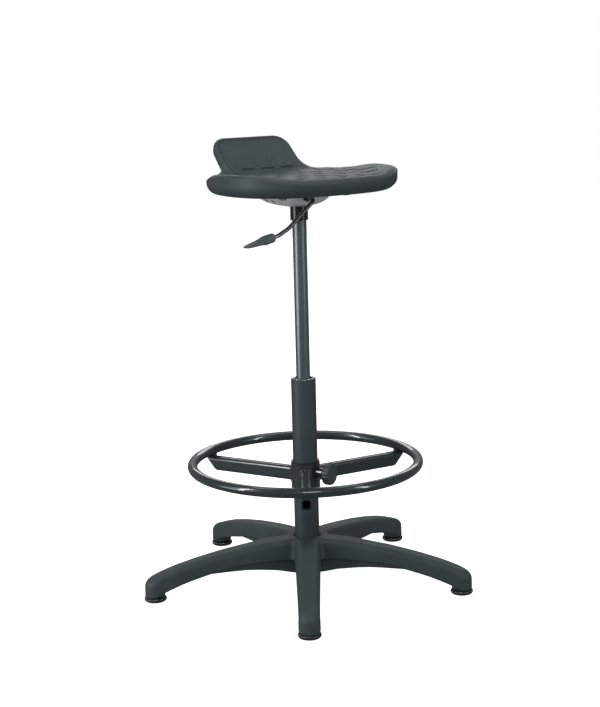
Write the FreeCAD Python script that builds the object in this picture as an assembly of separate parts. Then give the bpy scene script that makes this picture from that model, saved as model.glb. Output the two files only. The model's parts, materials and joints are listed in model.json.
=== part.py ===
"""Height-adjustable drafting chair: moulded seat on a gas lift, clamped foot ring, five-arm base.

Frame: millimetres, +Z up, origin where the column axis meets the floor, one base arm along -Y.
"""
import FreeCAD, Part
import math
import os

from FreeCAD import Vector as V

os.makedirs("parts", exist_ok=True)

# ---------------------------------------------------------------- driving dimensions
# Five-arm base
ARMS = 5
ARM_FIRST_DEG = -90.0
FOOT_CIRCLE_R = 320.0        # glides stand on this circle
FOOT_POST_R = 20.0           # rounded post at the end of each arm
FOOT_POST_TOP = 47.0
HUB_R = 36.0
HUB_TOP = 99.0
HUB_BOTTOM = 32.0
HUB_MOUTH_R = 26.5           # clearance hole above the taper
ARM_WALL = 4.0
RIB = 2.6
# (radius, crown height, lower edge height, half width of the top, half width of the lower edge)
ARM_STATIONS = [
    (14.0, 97.0, 46.0, 22.0, 27.0),
    (50.0, 97.5, 50.0, 22.0, 26.5),
    (95.0, 95.0, 54.0, 21.5, 25.6),
    (150.0, 88.5, 55.0, 20.8, 24.0),
    (205.0, 80.5, 48.5, 20.0, 22.6),
    (260.0, 69.5, 35.5, 19.2, 21.0),
    (300.0, 58.0, 20.5, 18.8, 20.0),
    (324.0, 48.0, 18.0, 15.0, 18.0),
]
# (radius, lower edge height) of the narrower keel under the inner half of each arm
KEEL_STATIONS = [(14.0, 26.0), (37.0, 28.0), (70.0, 37.4), (112.0, 43.6), (162.0, 47.2),
                 (208.0, 48.2)]
KEEL_HALF_WIDTH = 20.0
KEEL_TOP = 75.0

# Glides
GLIDE_R = 22.5
GLIDE_H = 11.0
GLIDE_SOCKET_DEPTH = 6.0
STEM_R = 5.5
STEM_TOP = 36.0

# Column and gas lift
COLUMN_R = 25.0
COLUMN_WALL = 1.5
COLUMN_TOP = 424.0
COLUMN_BOTTOM = 28.0
TAPER_TOP = 79.0
TAPER = 1.0 / 40.0           # radius lost per millimetre of height, a 1:20 taper
END_PLATE = 4.0
LIFT_R = 14.0
LIFT_WALL = 2.0
LIFT_BOTTOM = 338.0
LIFT_TOP = 778.0
LIFT_TAPER_BOTTOM = 745.0
BUSH_BOTTOM = 344.0
BUSH_RUNNING = 0.06          # radial running clearance of the lift in its bush
ROD_R = 5.0
ROD_END_R = 4.0
ROD_SHOULDER = 41.0
ROD_BOTTOM = 20.0
PISTON_BOTTOM = 356.0
PISTON_TOP = 372.0
RUN = 0.05                   # radial running clearance of small shafts

# Thrust bearing under the piston rod
BEARING_R = 12.0
WASHER = 2.5
BALL_R = 2.0
BALL_CIRCLE_R = 8.2
BALLS = 8
BALL_PLAY = 0.03

# Foot ring
RING_R = 227.5
RING_TUBE_R = 10.0
RING_WALL = 1.5
RING_Z = 250.5
SPOKES_DEG = [30.0, 150.0, 270.0]
SPOKE_W = 20.0
SPOKE_H = 29.0
SPOKE_TOP = 240.0
SPOKE_WALL = 3.2
SPOKE_CORNER = 6.0
SPOKE_BORE_CORNER = 6.4
SPOKE_TIP_R = 235.0
SPOKE_CUT = 27.0             # how far the slanted end is cut back along the lower edge
COLLAR_R = 29.2
COLLAR_IN = 27.2
COLLAR_BOTTOM = 192.0
COLLAR_TOP = 252.0
LINER_R = 26.9
LINER_IN = 25.3
LINER_LIP_R = 28.6
LINER_LIP = 1.6
CLAMP_DEG = -30.0
CLAMP_Z = 232.0
BOSS_R = 9.5
BOSS_END = 43.5
SCREW_R = 4.0
KNOB_R = 22.5
KNOB_BACK = 46.5
KNOB_FRONT = 63.0
KNOB_FLUTES = 12

# Seat (its own frame: x forward, y to the sitter's left; turned to SEAT_DEG at the end)
SEAT_DEG = -58.0
SEAT_BOTTOM = 798.0
SEAT_RIM = 838.0
SEAT_HALF_LENGTH = 166.0
SEAT_HALF_WIDTH = 186.0
SEAT_SHIFT = 4.0
SEAT_POWER = 2.5             # roundness of the plan: 2 is an ellipse, larger is squarer
LIP_TOP = 897.0
LIP_HALF_WIDTH = 92.0
LIP_CORNER = 30.0
INSERT_T = 6.0
INSERT_GAP = 4.0             # polyurethane under the insert
PAN_CENTRE = -21.0
FLANGE_T = 3.0
PAN_T = 2.5
BOLT_DX = 160.0
BOLT_DY = 144.0
SOCKET_R = 17.5
SOCKET_BOTTOM = 741.0
SOCKET_TOP = 774.0

# Release lever
LEVER_R = 4.0
LEVER_HOLE_R = 5.8
LEVER_Y = -12.0
LEVER_Z = 787.5
LEVER_REAR = -30.0
LEVER_POINTS = [V(LEVER_REAR, LEVER_Y, LEVER_Z), V(78, LEVER_Y, LEVER_Z), V(78, -72.0, 736.5),
                V(78, -97.0, 723.5), V(78, -122.0, 718.3)]
LEVER_BENDS = [12.0, 60.0, 40.0]
GRIP_OVERLAP = 16.0          # length of rod inside the grip
PIN_R = 2.4
PIN_HEAD_R = 3.6
PIN_TOP = 785.8

X, Y, Z = V(1, 0, 0), V(0, 1, 0), V(0, 0, 1)
ORIGIN = V(0, 0, 0)


# ---------------------------------------------------------------- helpers
def save(name, shape):
    """Write one sub-part; its file name is its node name."""
    shape.exportStep("parts/" + name + ".step")
    solids = len(shape.Solids)
    print(f"{name:18s} solids {solids} valid {shape.isValid()} volume {shape.Volume / 1000:.1f} cm3")


def turned(shape, degrees):
    """A copy turned about the column axis."""
    copy = shape.copy()
    copy.rotate(ORIGIN, Z, degrees)
    return copy


def cylinder(radius, low, high, x=0.0, y=0.0):
    return Part.makeCylinder(radius, high - low, V(x, y, low), Z)


def sleeve(outer, inner, low, high, x=0.0, y=0.0):
    return cylinder(outer, low, high, x, y).cut(cylinder(inner, low - 1, high + 1, x, y))


def revolved(profile):
    """Solid of revolution about the column axis from (radius, height) corners."""
    wire = Part.makePolygon([V(r, 0, z) for r, z in profile + profile[:1]])
    return Part.Face(wire).revolve(ORIGIN, Z, 360)


def box(x0, x1, y0, y1, z0, z1):
    return Part.makeBox(x1 - x0, y1 - y0, z1 - z0, V(x0, y0, z0))


def rounded_rectangle(x0, x1, y0, y1, radius, z):
    """Closed wire of a rectangle with round corners at height z."""
    corners = [(x1, y0, -90), (x1, y1, 0), (x0, y1, 90), (x0, y0, 180)]
    edges = []
    ends = []
    for x, y, start in corners:
        cx = x - math.copysign(radius, x - (x0 + x1) / 2)
        cy = y - math.copysign(radius, y - (y0 + y1) / 2)
        circle = Part.Circle(V(cx, cy, z), Z, radius)
        arc = Part.ArcOfCircle(circle, math.radians(start), math.radians(start + 90))
        edges.append(arc.toShape())
        ends.append((arc.StartPoint, arc.EndPoint))
    sides = [Part.LineSegment(ends[i][1], ends[(i + 1) % 4][0]).toShape() for i in range(4)]
    return Part.Wire(Part.__sortEdges__(edges + sides))


def rounded_block(x0, x1, y0, y1, z0, z1, radius):
    face = Part.Face(rounded_rectangle(x0, x1, y0, y1, radius, z0))
    return face.extrude(V(0, 0, z1 - z0))


# ---------------------------------------------------------------- five-arm base
def arm_section(radius, crown, low, half_top, half_low, shoulder):
    """Closed wire across an arm: sloping walls, round shoulders and a slightly crowned top."""
    rise = 1.6
    top = crown - rise
    dx = half_low - half_top
    slope = dx / (top - low)
    left_foot = V(radius, -half_low, low)
    right_foot = V(radius, half_low, low)
    wall_top = top - shoulder
    outer = half_top + slope * shoulder
    lean = shoulder * 0.29
    left_wall = V(radius, -outer, wall_top)
    right_wall = V(radius, outer, wall_top)
    left_shoulder = V(radius, -half_top + shoulder, top)
    right_shoulder = V(radius, half_top - shoulder, top)
    left_mid = V(radius, -half_top + lean - slope, top - lean)
    right_mid = V(radius, half_top - lean + slope, top - lean)
    edges = [
        Part.LineSegment(right_foot, left_foot),
        Part.LineSegment(left_foot, left_wall),
        Part.Arc(left_wall, left_mid, left_shoulder),
        Part.Arc(left_shoulder, V(radius, 0, crown), right_shoulder),
        Part.Arc(right_shoulder, right_mid, right_wall),
        Part.LineSegment(right_wall, right_foot),
    ]
    return Part.Wire([edge.toShape() for edge in edges])


def arm_loft(inset):
    """One arm along +X; a positive inset gives the cavity under its skin."""
    wires = []
    for radius, crown, low, half_top, half_low in ARM_STATIONS:
        floor = low - (30.0 if inset else 0.0)
        wires.append(arm_section(radius, crown - inset, floor, half_top - inset,
                                 half_low - inset, 9.0 - inset / 2))
    return Part.makeLoft(wires, True)


def keel(inset):
    """The narrower wall that hangs below the inner half of the arm."""
    bottom = [V(r, 0, z - (30.0 if inset else 0.0)) for r, z in KEEL_STATIONS]
    first, last = bottom[0], bottom[-1]
    inner_top = V(first.x, 0, KEEL_TOP - inset)
    outer_top = V(last.x, 0, last.z + 6)
    curve = Part.BSplineCurve()
    curve.interpolate(bottom)
    wire = Part.Wire([
        curve.toShape(),
        Part.LineSegment(last, outer_top).toShape(),
        Part.LineSegment(outer_top, inner_top).toShape(),
        Part.LineSegment(inner_top, first).toShape(),
    ])
    half = KEEL_HALF_WIDTH - inset
    face = Part.Face(wire)
    face.translate(V(0, -half, 0))
    return face.extrude(V(0, 2 * half, 0))


def foot_post():
    """Rounded post over the glide, closed by a shallow dome."""
    post = cylinder(FOOT_POST_R, GLIDE_H - 0.5, FOOT_POST_TOP, FOOT_CIRCLE_R)
    return post.makeFillet(15.0, [post.Edges[0]])


def arm_ribs():
    """Stiffening ribs in the hollow underside."""
    ribs = [box(30, 300, -RIB / 2, RIB / 2, 20, 95)]
    for x in range(85, 300, 42):
        ribs.append(box(x, x + RIB, -30, 30, 20, 95))
    return ribs[0].multiFuse(ribs[1:])


def make_arm():
    skin = arm_loft(0.0).fuse(keel(0.0))
    cavity = arm_loft(ARM_WALL).common(box(40, 296, -60, 60, -60, 120))
    keel_cavity = keel(ARM_WALL).common(box(40, 296, -60, 60, -60, 120))
    hollow = cavity.fuse(keel_cavity)
    walls = skin.cut(hollow)
    ribs = skin.common(arm_ribs())
    return walls.fuse(ribs).fuse(foot_post())


def taper_radius(z):
    return COLUMN_R - max(0.0, TAPER_TOP - z) * TAPER


def make_base():
    arm = make_arm()
    arms = [turned(arm, ARM_FIRST_DEG + i * 360.0 / ARMS) for i in range(ARMS)]
    hub = revolved([(0, HUB_BOTTOM), (HUB_R - 2, HUB_BOTTOM), (HUB_R, HUB_BOTTOM + 4),
                    (HUB_R, HUB_TOP - 5), (HUB_R - 4, HUB_TOP), (0, HUB_TOP)])
    star = hub.multiFuse(arms)
    bore = revolved([(0, 10), (taper_radius(COLUMN_BOTTOM) + 6, 10),
                     (taper_radius(COLUMN_BOTTOM) + 6, HUB_BOTTOM + 2),
                     (taper_radius(HUB_BOTTOM + 2), HUB_BOTTOM + 2), (COLUMN_R, TAPER_TOP),
                     (HUB_MOUTH_R, TAPER_TOP + 0.5), (HUB_MOUTH_R, 120), (0, 120)])
    star = star.cut(bore)
    sockets = [turned(cylinder(STEM_R + 0.02, 0, STEM_TOP + 1, FOOT_CIRCLE_R),
                      ARM_FIRST_DEG + i * 360.0 / ARMS) for i in range(ARMS)]
    star = star.cut(sockets[0].multiFuse(sockets[1:]))
    return star.removeSplitter()


# ---------------------------------------------------------------- glides
def make_glide():
    """Low round foot with a flat sole, a rolled edge and a blind hole for its stem."""
    profile = [(0, 0), (GLIDE_R - 4, 0), (GLIDE_R - 1.2, 1.2), (GLIDE_R, 3.8), (GLIDE_R, 6.0),
               (GLIDE_R - 1.5, 8.6), (GLIDE_R - 5, GLIDE_H - 0.5), (0, GLIDE_H - 0.5)]
    glide = revolved(profile)
    glide = glide.cut(cylinder(STEM_R + 0.02, GLIDE_H - GLIDE_SOCKET_DEPTH, GLIDE_H + 1))
    glide.translate(V(FOOT_CIRCLE_R, 0, 0))
    return glide


def make_stems():
    """Five steel stems that join the glides to the arms."""
    stem = cylinder(STEM_R, GLIDE_H - GLIDE_SOCKET_DEPTH, STEM_TOP, FOOT_CIRCLE_R)
    stem = stem.makeChamfer(1.0, [stem.Edges[0]])
    return Part.makeCompound([turned(stem, ARM_FIRST_DEG + i * 360.0 / ARMS) for i in range(ARMS)])


# ---------------------------------------------------------------- column and gas lift
def make_column_tube():
    low = taper_radius(COLUMN_BOTTOM)
    inner_low = low - COLUMN_WALL
    inner = COLUMN_R - COLUMN_WALL
    return revolved([(low, COLUMN_BOTTOM), (COLUMN_R, TAPER_TOP), (COLUMN_R, COLUMN_TOP - 1),
                     (COLUMN_R - 1, COLUMN_TOP), (inner, COLUMN_TOP), (inner, TAPER_TOP + 1),
                     (inner_low, COLUMN_BOTTOM)])


def make_end_plate():
    radius = taper_radius(COLUMN_BOTTOM) - COLUMN_WALL - 0.02
    return sleeve(radius, ROD_END_R + RUN, COLUMN_BOTTOM + 0.2, COLUMN_BOTTOM + END_PLATE)


def make_bush():
    """Long plastic guide bush, with a lip that sits just inside the tube mouth."""
    outer = COLUMN_R - COLUMN_WALL - 0.05
    bore = LIFT_R + BUSH_RUNNING
    return revolved([(bore, BUSH_BOTTOM), (outer, BUSH_BOTTOM), (outer, COLUMN_TOP - 2.5),
                     (outer - 5.5, COLUMN_TOP - 2.5), (bore + 1.2, COLUMN_TOP - 1.2),
                     (bore, COLUMN_TOP - 2.2)])


def make_top_ring():
    """Pressed bright ring that holds the bush in the tube mouth."""
    outer = COLUMN_R - COLUMN_WALL - 0.05
    return revolved([(outer - 5.0, COLUMN_TOP - 2.4), (outer, COLUMN_TOP - 2.4),
                     (outer, COLUMN_TOP + 0.6), (outer - 1.2, COLUMN_TOP + 1.2),
                     (outer - 4.0, COLUMN_TOP + 0.2)])


def make_piston_rod():
    return revolved([(0, ROD_BOTTOM), (ROD_END_R - 0.6, ROD_BOTTOM), (ROD_END_R, ROD_BOTTOM + 0.8),
                     (ROD_END_R, 23.0), (ROD_END_R - 0.9, 23.0), (ROD_END_R - 0.9, 24.6),
                     (ROD_END_R, 24.6), (ROD_END_R, ROD_SHOULDER), (ROD_R, ROD_SHOULDER),
                     (ROD_R, PISTON_BOTTOM), (ROD_END_R, PISTON_BOTTOM),
                     (ROD_END_R, PISTON_TOP + 4), (0, PISTON_TOP + 4)])


def make_retaining_clip():
    """Spring clip in the groove at the foot of the piston rod."""
    ring = sleeve(8.0, ROD_END_R - 0.9, 23.1, 24.5)
    return ring.cut(box(0, 12, -1.6, 1.6, 20, 28))


def bearing_level():
    return COLUMN_BOTTOM + END_PLATE


def make_bearing_washer(low):
    return sleeve(BEARING_R, ROD_END_R + RUN, low, low + WASHER)


def ball_height():
    return bearing_level() + WASHER + BALL_R + BALL_PLAY / 2


def make_ball_cage():
    middle = ball_height()
    cage = sleeve(BEARING_R - 0.3, ROD_END_R + 0.6, middle - 0.7, middle + 0.7)
    holes = [cylinder(BALL_R + 0.1, middle - 2, middle + 2, BALL_CIRCLE_R) for _ in range(BALLS)]
    holes = [turned(hole, i * 360.0 / BALLS) for i, hole in enumerate(holes)]
    return cage.cut(holes[0].multiFuse(holes[1:]))


def make_bearing_balls():
    ball = Part.makeSphere(BALL_R, V(BALL_CIRCLE_R, 0, ball_height()))
    return Part.makeCompound([turned(ball, i * 360.0 / BALLS) for i in range(BALLS)])


def make_bumper():
    """Rubber ring that cushions the bottom of the stroke."""
    low = ROD_SHOULDER + 0.1
    return revolved([(ROD_R, low), (BEARING_R - 1, low), (BEARING_R, low + 2),
                     (BEARING_R, low + 12), (BEARING_R - 3, low + 16), (ROD_R, low + 16)])


def lift_radius(z):
    return LIFT_R - max(0.0, z - LIFT_TAPER_BOTTOM) * TAPER


def make_gas_cylinder():
    inner = LIFT_R - LIFT_WALL
    return revolved([(inner, LIFT_BOTTOM), (LIFT_R - 0.8, LIFT_BOTTOM), (LIFT_R, LIFT_BOTTOM + 0.8),
                     (LIFT_R, LIFT_TAPER_BOTTOM), (lift_radius(LIFT_TOP), LIFT_TOP),
                     (lift_radius(LIFT_TOP) - LIFT_WALL, LIFT_TOP), (inner - 0.8, 750.0),
                     (inner, 749.0)])


def make_rod_guide():
    return sleeve(LIFT_R - LIFT_WALL - 0.03, ROD_R + RUN, LIFT_BOTTOM + 0.5, LIFT_BOTTOM + 9.0)


def make_rod_seal():
    return sleeve(LIFT_R - LIFT_WALL - 0.03, ROD_R + RUN, LIFT_BOTTOM + 9.0, LIFT_BOTTOM + 14.0)


def make_piston():
    return sleeve(LIFT_R - LIFT_WALL - 0.08, ROD_END_R, PISTON_BOTTOM, PISTON_TOP)


def make_valve_body():
    outer = lift_radius(LIFT_TOP) - LIFT_WALL - 0.1
    body = cylinder(outer, 751.0, LIFT_TOP)
    return body.cut(cylinder(PIN_R + RUN, 740, LIFT_TOP + 1))


def make_release_pin():
    stem = cylinder(PIN_R, 750.0, PIN_TOP)
    head = cylinder(PIN_HEAD_R, 781.8, PIN_TOP)
    return stem.fuse(head).removeSplitter()


# ---------------------------------------------------------------- foot ring
def make_ring_tube():
    outer = Part.makeTorus(RING_R, RING_TUBE_R, V(0, 0, RING_Z), Z)
    inner = Part.makeTorus(RING_R, RING_TUBE_R - RING_WALL, V(0, 0, RING_Z), Z)
    return outer.cut(inner)


def spoke_profile(inset, corner):
    half = SPOKE_W / 2 - inset
    low = SPOKE_TOP - SPOKE_H + inset
    wire = rounded_rectangle(-SPOKE_TOP + inset, -low, -half, half, corner, 0)
    face = Part.Face(wire)
    face.rotate(ORIGIN, Y, 90)
    return face


def make_spoke():
    """Rectangular tube from the collar to the ring, its outer end cut on a slant and left open."""
    reach = SPOKE_TIP_R + 5
    bar = spoke_profile(0, SPOKE_CORNER).extrude(V(reach, 0, 0))
    bore = spoke_profile(SPOKE_WALL, SPOKE_BORE_CORNER).extrude(V(reach, 0, 0))
    low = SPOKE_TOP - SPOKE_H
    cut_line = [V(SPOKE_TIP_R, -20, SPOKE_TOP + 1), V(SPOKE_TIP_R - SPOKE_CUT, -20, low - 1),
                V(reach + 20, -20, low - 1), V(reach + 20, -20, SPOKE_TOP + 1)]
    slant = Part.Face(Part.makePolygon(cut_line + cut_line[:1])).extrude(V(0, 40, 0))
    saddle = box(RING_R - 11, RING_R + 7, -6, 6, SPOKE_TOP - 2, RING_Z - 4)
    saddle = saddle.cut(Part.makeTorus(RING_R, RING_TUBE_R, V(0, 0, RING_Z), Z))
    tube = bar.cut(bore).fuse(saddle.cut(bore)).cut(slant)
    return tube.cut(cylinder(COLLAR_R, 100, 400)).removeSplitter()


def radial(shape):
    """Turn a part built along +X at the clamp's height into the clamp's direction."""
    return turned(shape, CLAMP_DEG)


def clamp_cylinder(radius, start, end):
    return Part.makeCylinder(radius, end - start, V(start, 0, CLAMP_Z), X)


def make_collar():
    collar = sleeve(COLLAR_R, COLLAR_IN, COLLAR_BOTTOM, COLLAR_TOP)
    return collar.cut(radial(clamp_cylinder(SCREW_R + 0.3, 20, 40)))


def make_liner():
    """Thin plastic sleeve between the collar and the column, with a lip at each end."""
    low = COLLAR_BOTTOM - 0.3 - LINER_LIP
    high = COLLAR_TOP + 0.3 + LINER_LIP
    return revolved([(LINER_IN, low), (LINER_LIP_R, low), (LINER_LIP_R, COLLAR_BOTTOM - 0.3),
                     (LINER_R, COLLAR_BOTTOM - 0.3), (LINER_R, COLLAR_TOP + 0.3),
                     (LINER_LIP_R, COLLAR_TOP + 0.3), (LINER_LIP_R, high), (LINER_IN, high)])


def make_boss():
    boss = clamp_cylinder(BOSS_R, 20, BOSS_END).cut(cylinder(COLLAR_R, 180, 280))
    return radial(boss.cut(clamp_cylinder(SCREW_R + RUN, 10, 60)))


def make_pad():
    return radial(clamp_cylinder(SCREW_R - 0.1, LINER_R + 0.3, LINER_R + 4.0))


def make_screw():
    return radial(clamp_cylinder(SCREW_R, LINER_R + 4.0, KNOB_FRONT - 5))


def make_knob():
    """Fluted hand knob with a neck towards the boss and a shallow dish in its face."""
    body = Part.makeCylinder(KNOB_R, KNOB_FRONT - KNOB_BACK, V(KNOB_BACK, 0, CLAMP_Z), X)
    body = body.makeFillet(2.5, [body.Edges[0], body.Edges[2]])
    step = 360.0 / KNOB_FLUTES
    flutes = []
    for i in range(KNOB_FLUTES):
        angle = math.radians(i * step)
        y = (KNOB_R + 2.2) * math.cos(angle)
        z = CLAMP_Z + (KNOB_R + 2.2) * math.sin(angle)
        flutes.append(Part.makeCylinder(3.6, 40, V(KNOB_BACK - 10, y, z), X))
    body = body.cut(flutes[0].multiFuse(flutes[1:]))
    neck = clamp_cylinder(8.5, BOSS_END + 1.0, KNOB_BACK + 1)
    dish = Part.makeCylinder(9, 5, V(KNOB_FRONT - 1.2, 0, CLAMP_Z), X)
    bore = clamp_cylinder(SCREW_R, 20, KNOB_FRONT - 5)
    return radial(body.fuse(neck).cut(dish).cut(bore).removeSplitter())


# ---------------------------------------------------------------- seat
def seat_turned(shape):
    return turned(shape, SEAT_DEG)


def seat_outline(z, grow=0.0):
    """Closed plan curve of the seat, a rounded superellipse."""
    count = 36
    points = []
    for i in range(count):
        angle = 2 * math.pi * i / count
        c, s = math.cos(angle), math.sin(angle)
        x = math.copysign(abs(c) ** (2 / SEAT_POWER), c) * (SEAT_HALF_LENGTH + grow)
        y = math.copysign(abs(s) ** (2 / SEAT_POWER), s) * (SEAT_HALF_WIDTH + grow)
        points.append(V(SEAT_SHIFT + x, y, z))
    curve = Part.BSplineCurve()
    curve.interpolate(Points=points, PeriodicFlag=True)
    return Part.Wire([curve.toShape()])


def seat_lip():
    """Low back support leaning rearwards, with round upper corners."""
    front = Part.BSplineCurve()
    front.interpolate([V(-96, 0, 832), V(-126, 0, 837), V(-151, 0, 860), V(-184, 0, LIP_TOP - 1)])
    rear = Part.BSplineCurve()
    rear.interpolate([V(-203, 0, LIP_TOP - 6), V(-196, 0, 862), V(-176, 0, 826), V(-158, 0, 806)])
    crest = Part.Arc(V(-184, 0, LIP_TOP - 1), V(-195, 0, LIP_TOP), V(-203, 0, LIP_TOP - 6))
    sole = Part.LineSegment(V(-158, 0, 806), V(-96, 0, 832))
    face = Part.Face(Part.Wire([edge.toShape() for edge in (front, crest, rear, sole)]))
    face.translate(V(0, -LIP_HALF_WIDTH, 0))
    lip = face.extrude(V(0, 2 * LIP_HALF_WIDTH, 0))
    low, high = 800, LIP_TOP + 1
    front = Part.Face(rounded_rectangle(-high, -low, -LIP_HALF_WIDTH, LIP_HALF_WIDTH, LIP_CORNER, 0))
    front.rotate(ORIGIN, Y, 90)
    front.translate(V(-250, 0, 0))
    return lip.common(front.extrude(V(200, 0, 0)))


def insert_plate():
    low = SEAT_BOTTOM + INSERT_GAP
    return rounded_block(-122, 88, -98, 98, low, low + INSERT_T, 25)


def bolt_places():
    return [(PAN_CENTRE + sx * BOLT_DX / 2, sy * BOLT_DY / 2) for sx in (-1, 1) for sy in (-1, 1)]


def nut_outer(x, y):
    low = SEAT_BOTTOM + INSERT_GAP
    barrel = cylinder(5.2, low, low + INSERT_T, x, y)
    return barrel.fuse(cylinder(10.0, low + INSERT_T, low + INSERT_T + 2.0, x, y))


def make_insert_nuts():
    low = SEAT_BOTTOM
    nuts = [nut_outer(x, y).cut(cylinder(4.1, low, low + 30, x, y)) for x, y in bolt_places()]
    return Part.makeCompound(nuts)


def make_insert():
    plate = insert_plate()
    for x, y in bolt_places():
        plate = plate.cut(cylinder(5.2, SEAT_BOTTOM, SEAT_BOTTOM + 20, x, y))
    return plate


def make_seat_pad():
    lower = Part.makeLoft([seat_outline(SEAT_BOTTOM, -12), seat_outline(SEAT_BOTTOM + 6, -3),
                           seat_outline(SEAT_BOTTOM + 20, 0), seat_outline(SEAT_RIM - 12, 0),
                           seat_outline(SEAT_RIM - 3, -4), seat_outline(SEAT_RIM, -14)], True)
    pad = lower.fuse(seat_lip())
    pad = pad.cut(insert_plate())
    for x, y in bolt_places():
        pad = pad.cut(nut_outer(x, y))
        pad = pad.cut(cylinder(5.2, SEAT_BOTTOM - 1, SEAT_BOTTOM + 18, x, y))
    return pad


def pan_loft(grow, lift):
    """Dished middle of the seat plate, from its rounded floor up to the flange."""
    wires = [
        rounded_rectangle(-50 - grow, 16 + grow, -26 - grow, 26 + grow, 14, 769 + lift),
        rounded_rectangle(-68 - grow, 30 + grow, -36 - grow, 36 + grow, 17, 773 + lift),
        rounded_rectangle(-88 - grow, 44 + grow, -50 - grow, 50 + grow, 20, 784 + lift),
        rounded_rectangle(-96 - grow, 50 + grow, -56 - grow, 56 + grow, 22, 796 + lift),
    ]
    return Part.makeLoft(wires, True)


def make_seat_plate():
    """Pressed steel plate: flat bolting flange around a dished pan."""
    top = SEAT_BOTTOM
    flange = rounded_block(-118, 76, -88, 88, top - FLANGE_T, top, 20)
    pan = flange.fuse(pan_loft(0, 0)).cut(pan_loft(-PAN_T, PAN_T))
    pan = pan.cut(cylinder(SOCKET_R, 700, 790))
    pan = pan.cut(Part.makeCylinder(LEVER_HOLE_R, 60, V(10, LEVER_Y, LEVER_Z), X))
    for x, y in bolt_places():
        pan = pan.cut(cylinder(4.5, top - 5, top + 1, x, y))
    for x in (-48, -24):
        pan = pan.cut(Part.makeCylinder(4.0, 160, V(x, -80, 779), Y))
    return pan.removeSplitter()


def make_seat_socket():
    """Tapered steel socket welded into the floor of the pan."""
    low, high = SOCKET_BOTTOM, SOCKET_TOP
    return revolved([(LIFT_R + 0.02, low), (SOCKET_R - 0.6, low), (SOCKET_R, low + 0.6),
                     (SOCKET_R, high), (lift_radius(high), high),
                     (lift_radius(LIFT_TAPER_BOTTOM), LIFT_TAPER_BOTTOM)])


def make_plate_bolts():
    """Four hexagon-head bolts with shanks into the insert nuts."""
    bolts = []
    head_low = SEAT_BOTTOM - FLANGE_T - 1.6 - 5.3
    for x, y in bolt_places():
        corners = [V(x + 7.5 * math.cos(math.radians(60 * i)), y + 7.5 * math.sin(math.radians(60 * i)),
                     head_low) for i in range(7)]
        head = Part.Face(Part.makePolygon(corners)).extrude(V(0, 0, 5.3))
        bolts.append(head.fuse(cylinder(4.0, head_low + 5.0, SEAT_BOTTOM + 11, x, y)))
    return Part.makeCompound(bolts)


def make_bolt_washers():
    high = SEAT_BOTTOM - FLANGE_T
    return Part.makeCompound([sleeve(8.4, 4.2, high - 1.6, high, x, y) for x, y in bolt_places()])


# ---------------------------------------------------------------- release lever
def bent_rod(points, bends, radius):
    """Round rod along straight runs joined by tangent arcs."""
    edges = []
    start = points[0]
    for i, bend in enumerate(bends):
        corner = points[i + 1]
        into = (corner - points[i]).normalize()
        away = (points[i + 2] - corner).normalize()
        turn = into.getAngle(away)
        reach = bend * math.tan(turn / 2)
        first = corner - into * reach
        last = corner + away * reach
        centre_way = (away - into).normalize()
        middle = corner + centre_way * (bend / math.cos(turn / 2) - bend)
        edges.append(Part.LineSegment(start, first).toShape())
        edges.append(Part.Arc(first, middle, last).toShape())
        start = last
    edges.append(Part.LineSegment(start, points[-1]).toShape())
    path = Part.Wire(edges)
    way = (points[1] - points[0]).normalize()
    circle = Part.Wire([Part.makeCircle(radius, points[0], way)])
    return path.makePipeShell([circle], True, True)


def make_lever_rod():
    rod = bent_rod(LEVER_POINTS, LEVER_BENDS, LEVER_R)
    groove = Part.makeCylinder(6, 1.2, V(LEVER_REAR + 2, LEVER_Y, LEVER_Z), X)
    groove = groove.cut(Part.makeCylinder(3.2, 1.2, V(LEVER_REAR + 2, LEVER_Y, LEVER_Z), X))
    return rod.cut(groove)


def make_lever_tab():
    """Flat tongue welded to the lever rod over the release pin."""
    tab = box(-6, 6, LEVER_Y, 8, PIN_TOP + 0.1, PIN_TOP + 3.1)
    return tab.cut(Part.makeCylinder(LEVER_R, 60, V(-30, LEVER_Y, LEVER_Z), X))


def make_lever_clip():
    clip = Part.makeCylinder(7.0, 1.0, V(LEVER_REAR + 2.1, LEVER_Y, LEVER_Z), X)
    return clip.cut(Part.makeCylinder(3.2, 3, V(LEVER_REAR + 1, LEVER_Y, LEVER_Z), X))


def make_lever_bush():
    """Flanged plastic bush in the front wall of the pan."""
    start, end = 38.0, 50.5
    bush = Part.makeCylinder(LEVER_HOLE_R - 0.05, end - start, V(start, LEVER_Y, LEVER_Z), X)
    flange = Part.makeCylinder(7.2, 1.5, V(end, LEVER_Y, LEVER_Z), X)
    bore = Part.makeCylinder(LEVER_R + RUN, 60, V(10, LEVER_Y, LEVER_Z), X)
    return bush.fuse(flange).cut(bore).removeSplitter()


def make_lever_bracket():
    """Folded bracket in the pan that carries the rear end of the lever rod."""
    ear = box(-24, -21.5, LEVER_Y - 9, LEVER_Y + 9, 772.5, 794)
    foot = box(-34, -21.5, LEVER_Y - 9, LEVER_Y + 9, 772.5, 775)
    bracket = ear.fuse(foot)
    bore = Part.makeCylinder(LEVER_R + RUN, 60, V(-50, LEVER_Y, LEVER_Z), X)
    return bracket.cut(bore).removeSplitter()


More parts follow.
